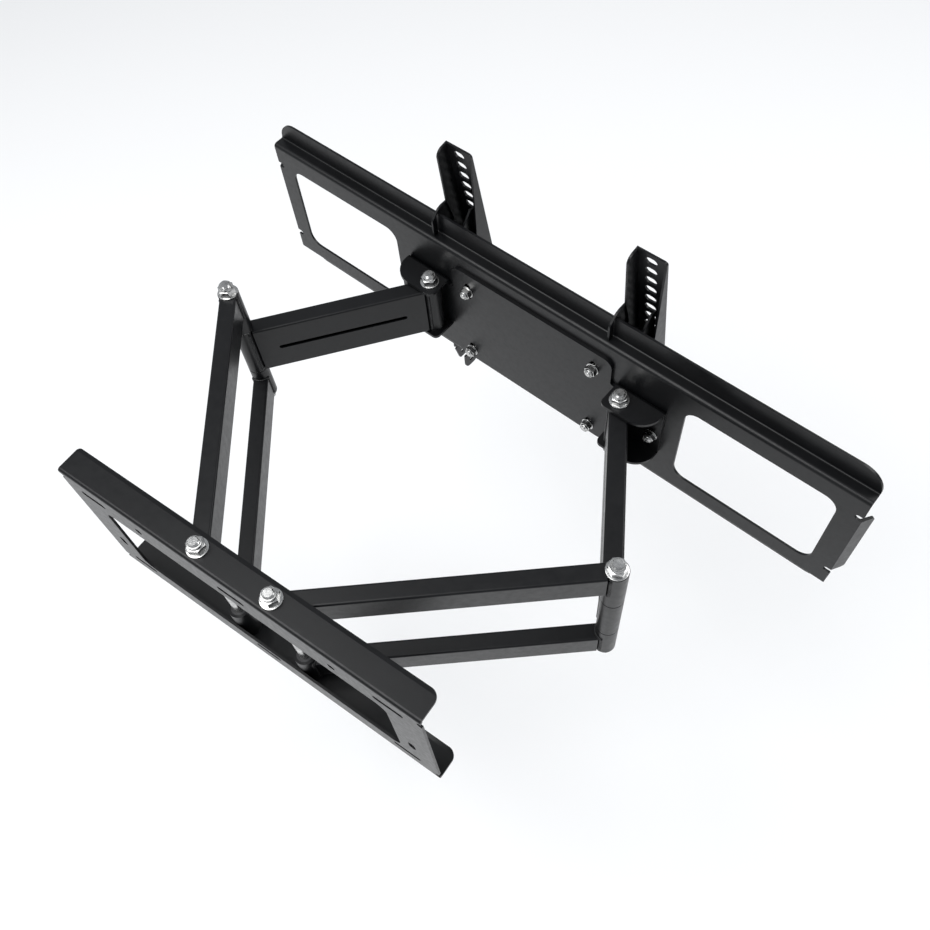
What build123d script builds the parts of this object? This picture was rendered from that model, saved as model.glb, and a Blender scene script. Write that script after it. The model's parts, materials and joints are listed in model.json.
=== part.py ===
"""Full motion TV wall mount: a wall plate, two pairs of folding arms and a TV head.

Frame: millimetres, +Z up, +X right, +Y from the wall towards the television. The origin is
the centre of the wall plate's back face. The heights are laid out about z = 0, the middle
of the wall plate and of the TV plate. The head stands swung a few degrees to one side.
"""
from build123d import *
from math import atan2, acos, cos, degrees, hypot, radians, sin
import os

os.makedirs("parts", exist_ok=True)

# ---------------------------------------------------------------- driving dimensions
# linkage, seen from above
LONG_ARM = 333.0            # wall pivot to elbow
SHORT_ARM = 238.0           # elbow to head pivot
WALL_PIVOT_SPACING = 98.0
HEAD_PIVOT_SPACING = 288.0
WALL_PIVOT_Y = 16.0         # wall pivots in front of the wall
LEFT_LONG_HEADING = 127.3   # degrees from +X, wall pivot to elbow
LEFT_SHORT_HEADING = 49.1   # degrees from +X, elbow to head pivot
HEAD_YAW = -5.3             # degrees the head is swung

# wall plate, a channel with its flanges towards the television
WALL_LENGTH = 478.0
WALL_HEIGHT = 218.0
WALL_DEPTH = 33.0
SHEET = 3.0
WALL_WINDOW = (384.0, 134.0)        # length, height
WALL_WINDOW_Z = -5.0
STUD_SLOT = (36.0, 9.0)             # overall length, width
STUD_SLOT_X = 198.0
STUD_SLOT_Z = 82.0

# TV plate, a hat profile: its flanges end in lips that the brackets hook over
TV_LENGTH = 860.0
TV_HEIGHT = 193.0
TV_DEPTH = 19.0
TV_LIP = 28.0                       # height of the lips above and below the flanges
TV_WEB_Y = 20.0                     # front of its web, measured from the head pivots
TV_WINDOW = (186.0, 135.0)
TV_WINDOW_X = 310.0
TV_WINDOW_Z = -0.5

# bars, knuckles and pivots
BAR_WIDTH = 20.0
BAR_HEIGHT = 38.0
TUBE_WALL = 2.0
KNUCKLE_RADIUS = 12.5
BUSH_RADIUS = 9.3
BOLT_RADIUS = 6.0
RUNNING_GAP = 0.05
WASHER_THICKNESS = 1.5
WASHER_RADIUS = 11.9
BUSH_LENGTH = 14.0
SHORT_ARM_HALF_HEIGHT = 38.0
UPPER_BAR_TOP = WALL_HEIGHT / 2 - SHEET - WASHER_THICKNESS
LOWER_BAR_BOTTOM = -94.0

# adapter between the short arms and the TV plate
ADAPTER_SHEET = 4.0
ADAPTER_CENTRE = (240.0, 163.0)
ADAPTER_CENTRE_Z = -6.5
ADAPTER_HALF_LENGTH = 195.0
EAR_INNER_X = 128.0
EAR_FRONT_Y = -17.0
ADAPTER_BOLTS = [(-95.0, 45.5), (95.0, 45.5), (-95.0, -71.5), (95.0, -71.5), (-183.0, -10.0), (183.0, -10.0)]
ADAPTER_SLOT_HEIGHT = 26.0
ADAPTER_BOLT_RADIUS = 4.0

# rails that carry the television, and the brackets that hook them on the TV plate
RAIL_CENTRES = {"left": -134.0, "right": 125.0}
RAIL_LENGTH = 434.0
RAIL_WIDTH = 38.0
RAIL_SHEET = 2.5
RAIL_TILT = 9.0                     # degrees, top leaning to the wall
TILT_PIVOT_Y = 78.0                 # behind the head pivots
RAIL_FACE = 18.0                    # television face of the rail behind the tilt pivot
RAIL_SLOT = (14.5, 10.4)
RAIL_SLOT_PITCH = 17.0
RAIL_SLOTS_EACH_END = 10
FIRST_RAIL_SLOT = 206.0
TILT_GUIDE_RADIUS = 60.0
TILT_TRAVEL = 18.0                  # degrees
SMALL_BOLT_RADIUS = 3.0
PIVOT_BOLT_RADIUS = 4.0


# ---------------------------------------------------------------- placing
def turned(frame, x, y, z=0.0, heading=0.0):
    """A frame at a point of another frame, turned about the vertical by heading degrees."""
    angle = radians(heading)
    return Plane(
        origin=frame.from_local_coords(Vector(x, y, z)),
        x_dir=frame.x_dir * cos(angle) + frame.y_dir * sin(angle),
        z_dir=frame.z_dir,
    )


def level(frame, z):
    """Sketch plane looking down the frame's z: sketch x, y are the frame's x, y."""
    return frame.offset(z)


def upright(frame, y):
    """Sketch plane facing the wall: sketch x, y are the frame's x, z."""
    return Plane(
        origin=frame.from_local_coords(Vector(0, y, 0)), x_dir=frame.x_dir, z_dir=-frame.y_dir
    )


def side(frame, x):
    """Sketch plane facing +x: sketch x, y are the frame's y, z."""
    return Plane(
        origin=frame.from_local_coords(Vector(x, 0, 0)), x_dir=frame.y_dir, z_dir=frame.x_dir
    )


def save(piece, name):
    """Label a finished sub-part and write its STEP file."""
    piece.part.label = name
    export_step(piece.part, f"parts/{name}.step")


# ---------------------------------------------------------------- the linkage at rest
WALL = Plane.XY
left_pivot = Vector(-WALL_PIVOT_SPACING / 2, WALL_PIVOT_Y)
right_pivot = Vector(WALL_PIVOT_SPACING / 2, WALL_PIVOT_Y)
LEFT_LONG = turned(WALL, left_pivot.X, left_pivot.Y, 0, LEFT_LONG_HEADING)
left_elbow = LEFT_LONG.from_local_coords(Vector(LONG_ARM, 0, 0))
LEFT_SHORT = turned(WALL, left_elbow.X, left_elbow.Y, 0, LEFT_SHORT_HEADING)
left_head = LEFT_SHORT.from_local_coords(Vector(SHORT_ARM, 0, 0))
HEAD_CORNER = turned(WALL, left_head.X, left_head.Y, 0, HEAD_YAW)
HEAD = turned(HEAD_CORNER, HEAD_PIVOT_SPACING / 2, 0)
right_head = HEAD.from_local_coords(Vector(HEAD_PIVOT_SPACING / 2, 0, 0))

# the right elbow closes the triangle wall pivot, elbow, head pivot
reach = right_head - right_pivot
span = hypot(reach.X, reach.Y)
elbow_angle = degrees(acos((LONG_ARM**2 + span**2 - SHORT_ARM**2) / (2 * LONG_ARM * span)))
right_long_heading = degrees(atan2(reach.Y, reach.X)) - elbow_angle
RIGHT_LONG = turned(WALL, right_pivot.X, right_pivot.Y, 0, right_long_heading)
right_elbow = RIGHT_LONG.from_local_coords(Vector(LONG_ARM, 0, 0))
closing = right_head - right_elbow
RIGHT_SHORT = turned(WALL, right_elbow.X, right_elbow.Y, 0, degrees(atan2(closing.Y, closing.X)))

print("left elbow", left_elbow, "left head pivot", left_head)
print("right elbow", right_elbow, "right head pivot", right_head)


# ---------------------------------------------------------------- shared shapes
def channel(frame, length, height, depth, bend, lip=0.0, lip_corner=0.0, crease=0.0, corners=()):
    """A bent sheet profile: web on y = 0, both flanges towards +y.

    lip turns the flanges' free edges away from the middle by that height, with rounded ends.
    Without a lip the flanges droop by a millimetre beyond the crease, and corners are the
    radii of their free corners at the -x and +x ends.
    """
    top = height / 2
    under = top - SHEET
    if lip:
        edge = [(depth - SHEET, top), (depth - SHEET, top + lip), (depth, top + lip), (depth, under)]
    else:
        edge = [(crease, top), (depth, top - 1.1), (depth, under - 1.1), (crease, under)]
    half = [(0, top), *edge, (SHEET, under)]
    rounds = [(0, top, bend), (SHEET, under, bend - SHEET)]
    if lip:
        rounds += [(depth - SHEET, top, 2), (depth, under, 2 + SHEET)]
    with BuildPart() as bent:
        with BuildSketch(side(frame, -length / 2)) as section:
            with BuildLine():
                Polyline(*half, *[(y, -z) for y, z in reversed(half)], close=True)
            make_face()
            for y, z, radius in rounds:
                for mirror in (-1, 1):
                    fillet(section.vertices().sort_by_distance((y, mirror * z, 0))[0], radius)
        extrude(amount=length)
        if lip:
            with BuildSketch(upright(frame, depth)):
                RectangleRounded(length, height + 2 * lip, lip_corner)
            extrude(amount=depth, mode=Mode.INTERSECT)
        else:
            with BuildSketch(level(frame, -height)) as outline:
                with Locations((0, depth / 2)):
                    Rectangle(length, depth)
                for hand, radius in zip((-1, 1), corners):
                    fillet(outline.vertices().sort_by_distance((hand * length / 2, depth, 0))[0], radius)
            extrude(amount=2 * height, mode=Mode.INTERSECT)
    return bent.part


def frame_y(frame, vertex):
    """The frame's own y of a vertex."""
    return frame.to_local_coords(Vector(vertex.X, vertex.Y, vertex.Z)).Y


def ring(frame, bottom, thickness, outer, inner):
    """A washer, collar or bush standing on a level of the frame."""
    with BuildPart() as collar:
        with BuildSketch(level(frame, bottom)):
            Circle(outer)
            Circle(inner, mode=Mode.SUBTRACT)
        extrude(amount=thickness)
    return collar.part


def hex_bolt(frame, head_bottom, tip, radius, across_flats, head_height):
    """A hexagon bolt, head down, along the frame's z, with a chamfered tip."""
    with BuildPart() as bolt:
        with BuildSketch(level(frame, head_bottom)):
            RegularPolygon(across_flats / 2, 6, major_radius=False)
        extrude(amount=head_height)
        with BuildSketch(level(frame, head_bottom + head_height)):
            Circle(radius)
        extrude(amount=tip - head_bottom - head_height)
        chamfer(bolt.faces().sort_by(bolt_axis(frame))[-1].edges(), radius / 6)
    return bolt.part


def bolt_axis(frame):
    """The frame's z as an axis to sort by."""
    return Axis(frame.origin, frame.z_dir)


def lock_nut(frame, bottom, radius, across_flats, hex_height, crown_height):
    """A nylon insert nut: a hexagon with a round crown."""
    with BuildPart() as nut:
        with BuildSketch(level(frame, bottom)):
            RegularPolygon(across_flats / 2, 6, major_radius=False)
        extrude(amount=hex_height)
        with BuildSketch(level(frame, bottom + hex_height)):
            Circle(across_flats * 0.45)
        extrude(amount=crown_height)
        chamfer(nut.faces().sort_by(bolt_axis(frame))[-1].edges(), crown_height / 4)
        with BuildSketch(level(frame, bottom)):
            Circle(radius)
        extrude(amount=hex_height + crown_height, mode=Mode.SUBTRACT)
    return nut.part


# hexagon sizes: across flats, head height, nut hexagon height, nut crown height
M12 = (18.0, 7.5, 8.0, 3.5)
M8 = (13.0, 5.3, 6.0, 2.5)
M6 = (10.0, 4.0, 4.6, 1.8)


# ---------------------------------------------------------------- wall plate
with BuildPart() as wall_plate:
    add(channel(WALL, WALL_LENGTH, WALL_HEIGHT, WALL_DEPTH, 4.0, crease=28.2, corners=(4.0, 11.0)))
    with BuildSketch(upright(WALL, SHEET)):
        with Locations((0, WALL_WINDOW_Z)):
            RectangleRounded(*WALL_WINDOW, 14)
        with Locations([(x, z) for x in (-STUD_SLOT_X, 0, STUD_SLOT_X) for z in (-STUD_SLOT_Z, STUD_SLOT_Z)]):
            SlotOverall(*STUD_SLOT)
        with Locations([(x, STUD_SLOT_Z) for x in (-130, 130)]):
            Circle(4.5)
        with Locations((-211, -32), (211, -32)):
            SlotOverall(18, 9, rotation=90)
        # bend reliefs at the corners of the web
        with Locations([(sx * WALL_LENGTH / 2, sz * 98) for sx in (-1, 1) for sz in (-1, 1)]):
            Circle(5)
    extrude(amount=SHEET, mode=Mode.SUBTRACT)
    with BuildSketch(level(WALL, -WALL_HEIGHT / 2)):
        with Locations((left_pivot.X, left_pivot.Y), (right_pivot.X, right_pivot.Y)):
            Circle(BOLT_RADIUS + 0.3)
    extrude(amount=WALL_HEIGHT, mode=Mode.SUBTRACT)
save(wall_plate, "wall_plate")

wall_pivots = [turned(WALL, p.X, p.Y) for p in (left_pivot, right_pivot)]
flange_face = WALL_HEIGHT / 2
flange_inside = flange_face - SHEET

with BuildPart() as wall_pivot_bolts:
    for pivot in wall_pivots:
        head_bottom = -flange_face - WASHER_THICKNESS - M12[1]
        tip = flange_face + WASHER_THICKNESS + M12[2] + M12[3] + 3
        add(hex_bolt(pivot, head_bottom, tip, BOLT_RADIUS, M12[0], M12[1]))
save(wall_pivot_bolts, "wall_pivot_bolts")

with BuildPart() as wall_pivot_nuts:
    for pivot in wall_pivots:
        add(lock_nut(pivot, flange_face + WASHER_THICKNESS, BOLT_RADIUS, M12[0], M12[2], M12[3]))
save(wall_pivot_nuts, "wall_pivot_nuts")

with BuildPart() as wall_pivot_washers:
    for pivot in wall_pivots:
        for bottom in (
            flange_face,
            flange_inside - WASHER_THICKNESS,
            -flange_inside,
            -flange_face - WASHER_THICKNESS,
        ):
            add(ring(pivot, bottom, WASHER_THICKNESS, WASHER_RADIUS, BOLT_RADIUS))
save(wall_pivot_washers, "wall_pivot_washers")


# ---------------------------------------------------------------- arms
def bar(frame, length, width, height, middle, near_knuckle, far_knuckle):
    """A rectangular tube welded between two upright knuckle tubes, bored for their bushes.

    near_knuckle and far_knuckle are the (bottom, top) levels of the knuckles.
    """
    buried = KNUCKLE_RADIUS - TUBE_WALL
    with BuildPart() as weldment:
        with BuildSketch(side(frame, buried)):
            with Locations((0, middle)):
                RectangleRounded(width, height, 2.5)
                Rectangle(width - 2 * TUBE_WALL, height - 2 * TUBE_WALL, mode=Mode.SUBTRACT)
        extrude(amount=length - 2 * buried)
        for x, (bottom, top) in ((0, near_knuckle), (length, far_knuckle)):
            with BuildSketch(level(turned(frame, x, 0), bottom)):
                Circle(KNUCKLE_RADIUS)
            extrude(amount=top - bottom)
            with BuildSketch(level(turned(frame, x, 0), bottom)):
                Circle(BUSH_RADIUS)
            extrude(amount=top - bottom, mode=Mode.SUBTRACT)
    return weldment.part


def bushes(pivot, knuckle):
    """Two flangeless bushes, one pressed into each end of a knuckle."""
    bottom, top = knuckle
    inner = BOLT_RADIUS + RUNNING_GAP
    lower = ring(pivot, bottom, BUSH_LENGTH, BUSH_RADIUS, inner)
    upper = ring(pivot, top - BUSH_LENGTH, BUSH_LENGTH, BUSH_RADIUS, inner)
    return [lower, upper]


elbow_face = SHORT_ARM_HALF_HEIGHT + WASHER_THICKNESS
upper_bar_middle = UPPER_BAR_TOP - BAR_HEIGHT / 2
lower_bar_middle = LOWER_BAR_BOTTOM + BAR_HEIGHT / 2
UPPER_WALL_KNUCKLE = (UPPER_BAR_TOP - BAR_HEIGHT - 8, UPPER_BAR_TOP)
UPPER_ELBOW_KNUCKLE = (elbow_face, UPPER_BAR_TOP)
LOWER_WALL_KNUCKLE = (-flange_inside + WASHER_THICKNESS, LOWER_BAR_BOTTOM + BAR_HEIGHT + 8)
LOWER_ELBOW_KNUCKLE = (LOWER_BAR_BOTTOM, -elbow_face)
SHORT_KNUCKLE = (-SHORT_ARM_HALF_HEIGHT, SHORT_ARM_HALF_HEIGHT)


def long_arm(hand, frame):
    """One long arm: its two bars, their bushes, and the elbow bolt that it carries."""
    elbow = turned(frame, LONG_ARM, 0)

    with BuildPart() as upper_bar:
        add(bar(frame, LONG_ARM, BAR_WIDTH, BAR_HEIGHT, upper_bar_middle,
                UPPER_WALL_KNUCKLE, UPPER_ELBOW_KNUCKLE))
    save(upper_bar, f"{hand}_upper_bar")

    with BuildPart() as lower_bar:
        add(bar(frame, LONG_ARM, BAR_WIDTH, BAR_HEIGHT, lower_bar_middle,
                LOWER_WALL_KNUCKLE, LOWER_ELBOW_KNUCKLE))
    save(lower_bar, f"{hand}_lower_bar")

    with BuildPart() as arm_bushes:
        for pivot, knuckle in (
            (frame, UPPER_WALL_KNUCKLE),
            (frame, LOWER_WALL_KNUCKLE),
            (elbow, UPPER_ELBOW_KNUCKLE),
            (elbow, LOWER_ELBOW_KNUCKLE),
        ):
            for bush in bushes(pivot, knuckle):
                add(bush)
    save(arm_bushes, f"{hand}_long_arm_bushes")

    with BuildPart() as elbow_bolt:
        head_bottom = LOWER_BAR_BOTTOM - WASHER_THICKNESS - M12[1]
        tip = UPPER_BAR_TOP + WASHER_THICKNESS + M12[2] + M12[3] + 3
        add(hex_bolt(elbow, head_bottom, tip, BOLT_RADIUS, M12[0], M12[1]))
    save(elbow_bolt, f"{hand}_elbow_bolt")

    with BuildPart() as elbow_nut:
        add(lock_nut(elbow, UPPER_BAR_TOP + WASHER_THICKNESS, BOLT_RADIUS, M12[0], M12[2], M12[3]))
    save(elbow_nut, f"{hand}_elbow_nut")

    with BuildPart() as elbow_washers:
        for bottom in (
            UPPER_BAR_TOP,
            SHORT_ARM_HALF_HEIGHT,
            -elbow_face,
            LOWER_BAR_BOTTOM - WASHER_THICKNESS,
        ):
            add(ring(elbow, bottom, WASHER_THICKNESS, WASHER_RADIUS, BOLT_RADIUS))
    save(elbow_washers, f"{hand}_elbow_washers")


def short_arm(hand, frame, bushed_ends):
    """One short arm: a tall box bar with a long slot in each cheek, and its bushes.

    bushed_ends are the distances along the arm of the pivots that carry bushes.
    """
    slot_length = SHORT_ARM - 72
    with BuildPart() as box_arm:
        add(bar(frame, SHORT_ARM, BAR_WIDTH + 2, 2 * SHORT_ARM_HALF_HEIGHT, 0,
                SHORT_KNUCKLE, SHORT_KNUCKLE))
        with BuildSketch(upright(frame, BAR_WIDTH)):
            with Locations((SHORT_ARM / 2, 0)):
                SlotOverall(slot_length, 6)
        extrude(amount=2 * BAR_WIDTH, mode=Mode.SUBTRACT)
    save(box_arm, f"{hand}_short_arm")

    with BuildPart() as arm_bushes:
        for x in bushed_ends:
            for bush in bushes(turned(frame, x, 0), SHORT_KNUCKLE):
                add(bush)
    save(arm_bushes, f"{hand}_short_arm_bushes")


long_arm("left", LEFT_LONG)
long_arm("right", RIGHT_LONG)
short_arm("left", LEFT_SHORT, (0, SHORT_ARM))
short_arm("right", RIGHT_SHORT, (0,))     # its head pivot runs loose on the bolt


# ---------------------------------------------------------------- adapter and head pivots
ear_inside = SHORT_ARM_HALF_HEIGHT + WASHER_THICKNESS
ear_outside = ear_inside + ADAPTER_SHEET
adapter_front = TV_WEB_Y - ADAPTER_SHEET
head_pivots = [turned(HEAD, x, 0) for x in (-HEAD_PIVOT_SPACING / 2, HEAD_PIVOT_SPACING / 2)]

with BuildPart() as arm_adapter:
    with BuildSketch(upright(HEAD, TV_WEB_Y)):
        with Locations((0, ADAPTER_CENTRE_Z)):
            RectangleRounded(*ADAPTER_CENTRE, 12)
        Rectangle(2 * ADAPTER_HALF_LENGTH, 2 * ear_outside)
    extrude(amount=ADAPTER_SHEET)
    for hand in (-1, 1):
        for bottom in (ear_inside, -ear_outside):
            with BuildSketch(level(HEAD, bottom)) as ear:
                ear_length = ADAPTER_HALF_LENGTH - EAR_INNER_X
                ear_depth = TV_WEB_Y - EAR_FRONT_Y
                with Locations((hand * (EAR_INNER_X + ear_length / 2), EAR_FRONT_Y + ear_depth / 2)):
                    Rectangle(ear_length, ear_depth)
                fillet(ear.vertices().sort_by_distance((hand * EAR_INNER_X, EAR_FRONT_Y, 0))[0], 7)
            extrude(amount=ADAPTER_SHEET)
    # rounded outer corners of the ears, and relief notches beside each bend
    ear_corner = 28.0
    for hand in (-1, 1):
        with BuildSketch(level(HEAD, -ear_outside)):
            corner = (hand * (ADAPTER_HALF_LENGTH - ear_corner), EAR_FRONT_Y + ear_corner)
            with Locations((corner[0] + hand * ear_corner / 2, corner[1] - ear_corner / 2)):
                Rectangle(ear_corner, ear_corner)
            with Locations(corner):
                Circle(ear_corner, mode=Mode.SUBTRACT)
        extrude(amount=2 * ear_outside, mode=Mode.SUBTRACT)
    with BuildSketch(upright(HEAD, TV_WEB_Y)):
        notch_x = (ADAPTER_CENTRE[0] / 2 + EAR_INNER_X) / 2
        with Locations([(sx * notch_x, sz * ear_outside) for sx in (-1, 1) for sz in (-1, 1)]):
            SlotOverall(16, EAR_INNER_X - ADAPTER_CENTRE[0] / 2, rotation=90)
        with Locations(ADAPTER_BOLTS):
            SlotOverall(ADAPTER_SLOT_HEIGHT, 2 * ADAPTER_BOLT_RADIUS + 1, rotation=90)
    extrude(amount=ADAPTER_SHEET, mode=Mode.SUBTRACT)
    for pivot in head_pivots:
        with BuildSketch(level(pivot, -ear_outside)):
            Circle(BOLT_RADIUS + 0.3)
        extrude(amount=2 * ear_outside, mode=Mode.SUBTRACT)
    bend_edges = [
        e for e in arm_adapter.edges()
        if abs(abs(e.center().Z) - ear_outside) < 0.1
        and abs(frame_y(HEAD, e.center()) - TV_WEB_Y) < 0.1
        and abs(HEAD.to_local_coords(e.center()).X) > EAR_INNER_X
        and e.length > 40
    ]
    fillet(bend_edges, 5)
save(arm_adapter, "arm_adapter")

with BuildPart() as head_pivot_bolts:
    for pivot in head_pivots:
        head_bottom = -ear_outside - WASHER_THICKNESS - M12[1]
        tip = ear_outside + WASHER_THICKNESS + M12[2] + M12[3] + 3
        add(hex_bolt(pivot, head_bottom, tip, BOLT_RADIUS, M12[0], M12[1]))
save(head_pivot_bolts, "head_pivot_bolts")

with BuildPart() as head_pivot_nuts:
    for pivot in head_pivots:
        add(lock_nut(pivot, ear_outside + WASHER_THICKNESS, BOLT_RADIUS, M12[0], M12[2], M12[3]))
save(head_pivot_nuts, "head_pivot_nuts")

with BuildPart() as head_pivot_washers:
    for pivot in head_pivots:
        for bottom in (
            ear_outside,
            SHORT_ARM_HALF_HEIGHT,
            -ear_inside,
            -ear_outside - WASHER_THICKNESS,
        ):
            add(ring(pivot, bottom, WASHER_THICKNESS, WASHER_RADIUS, BOLT_RADIUS))
save(head_pivot_washers, "head_pivot_washers")


# ---------------------------------------------------------------- TV plate
TV_PLATE = turned(HEAD, 0, TV_WEB_Y)
LIP_DEPTH = 16.0
LIP_HEIGHT = 118.0

with BuildPart() as tv_plate:
    add(channel(TV_PLATE, TV_LENGTH, TV_HEIGHT, TV_DEPTH, 5.0, lip=TV_LIP, lip_corner=TV_LIP - 0.2))
    with BuildSketch(upright(TV_PLATE, SHEET)):
        with Locations((-TV_WINDOW_X, TV_WINDOW_Z), (TV_WINDOW_X, TV_WINDOW_Z)):
            RectangleRounded(*TV_WINDOW, 17)
        with Locations(ADAPTER_BOLTS):
            SlotOverall(24, 2 * ADAPTER_BOLT_RADIUS + 0.6)
        lip_notches = [(sx * TV_LENGTH / 2, sz * (LIP_HEIGHT / 2 + 4)) for sx in (-1, 1) for sz in (-1, 1)]
        with Locations(lip_notches):
            SlotOverall(18, 8)
    extrude(amount=SHEET, mode=Mode.SUBTRACT)
    # end lips, splayed outwards from the web's ends
    splay = radians(30)
    out, back = sin(splay), cos(splay)
    for hand in (-1, 1):
        end = TV_LENGTH / 2
        tip = (end + LIP_DEPTH * out, LIP_DEPTH * back)
        with BuildSketch(level(TV_PLATE, -LIP_HEIGHT / 2)):
            with BuildLine():
                Polyline(
                    (hand * (end - SHEET), 0), (hand * end, 0), (hand * tip[0], tip[1]),
                    (hand * (tip[0] - SHEET * back), tip[1] + SHEET * out),
                    (hand * (end - SHEET), SHEET), close=True,
                )
            make_face()
        extrude(amount=LIP_HEIGHT)
    lip_tips = [
        e for e in tv_plate.edges()
        if abs(TV_PLATE.to_local_coords(e.center()).X) > TV_LENGTH / 2 + 5 and abs(e.length - SHEET) < 0.1
    ]
    fillet(lip_tips, 4)
save(tv_plate, "tv_plate")


def clamp_bolt(frame, x, z):
    """Frame of an adapter bolt: its z runs towards the wall, from the back of the TV plate."""
    return Plane(
        origin=frame.from_local_coords(Vector(x, SHEET, z)), x_dir=frame.x_dir, z_dir=-frame.y_dir
    )


clamp_bolts = [clamp_bolt(TV_PLATE, x, z) for x, z in ADAPTER_BOLTS]
clamp_face = SHEET + ADAPTER_SHEET
CARRIAGE_HEAD = 4.5

with BuildPart() as adapter_bolts:
    for bolt in clamp_bolts:
        with BuildSketch(level(bolt, -CARRIAGE_HEAD)):
            Circle(9)
        extrude(amount=CARRIAGE_HEAD)
        fillet(adapter_bolts.faces().sort_by_distance(bolt.offset(-CARRIAGE_HEAD).origin)[0].edges(), 3.5)
        with BuildSketch(level(bolt, 0)):
            Circle(ADAPTER_BOLT_RADIUS)
        extrude(amount=18)
save(adapter_bolts, "adapter_bolts")

with BuildPart() as adapter_washers:
    for bolt in clamp_bolts:
        add(ring(bolt, clamp_face, WASHER_THICKNESS, 8.5, ADAPTER_BOLT_RADIUS))
save(adapter_washers, "adapter_washers")

with BuildPart() as adapter_nuts:
    for bolt in clamp_bolts:
        add(lock_nut(bolt, clamp_face + WASHER_THICKNESS, ADAPTER_BOLT_RADIUS, M8[0], M8[2], M8[3]))
save(adapter_nuts, "adapter_nuts")


# ---------------------------------------------------------------- rails and hook brackets
HOOK_SHEET = 2.5
HOOK_LEFT = -RAIL_WIDTH / 2 - HOOK_SHEET - 0.1      # outer face of the left cheek
HOOK_RIGHT = 10.0                                   # outer face of the right cheek
HOOK_WEB_Y = TV_WEB_Y + TV_DEPTH + 0.6               # close behind the TV plate's lips
HOOK_TOP = 133.0
FLANGE_TOP = TV_HEIGHT / 2 + 0.2
LOCK_BOLT_Y = 47.0
LOCK_BOLT_Z = -104.0
PADLOCK_HOLE = (40.5, -141.5)
# cheek outlines as (y, z) points behind the head pivots
LIP_CLEAR = FLANGE_TOP + TV_LIP + 0.5               # top of the slot that drops over the lip
LIP_FRONT = HOOK_WEB_Y - SHEET - 3.4
LEFT_CHEEK = [
    (26, FLANGE_TOP), (26, 120), (37, 131), (44, HOOK_TOP), (66, HOOK_TOP), (88, 12), (88, -12), (60, -172),
    (48, -172), (HOOK_WEB_Y, -140), (HOOK_WEB_Y, LIP_CLEAR), (LIP_FRONT, LIP_CLEAR), (LIP_FRONT, FLANGE_TOP),
]
RIGHT_CHEEK = [
    (HOOK_WEB_Y, FLANGE_TOP + 2.5), (62, 127), (67.5, 127), (88, 12), (88, -12), (52, -153),
    (29, -153), (29, 1 - LIP_CLEAR - 2), (HOOK_WEB_Y, 1 - LIP_CLEAR - 2),
]


def cross_bolt(frame, y, z):
    """Frame of a bolt that runs along +x through the cheeks and the rail."""
    return Plane(origin=frame.from_local_coords(Vector(0, y, z)), x_dir=frame.y_dir, z_dir=frame.x_dir)


def near(part, frame, y, z, reach_mm):
    """Edges along x whose middle lies near (y, z) of the frame."""
    chosen = []
    for edge in part.edges():
        middle = frame.to_local_coords(edge.center())
        if abs(middle.Y - y) < reach_mm and abs(middle.Z - z) < reach_mm and abs(edge.length - HOOK_SHEET) < 0.1:
            chosen.append(edge)
    return chosen


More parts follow.
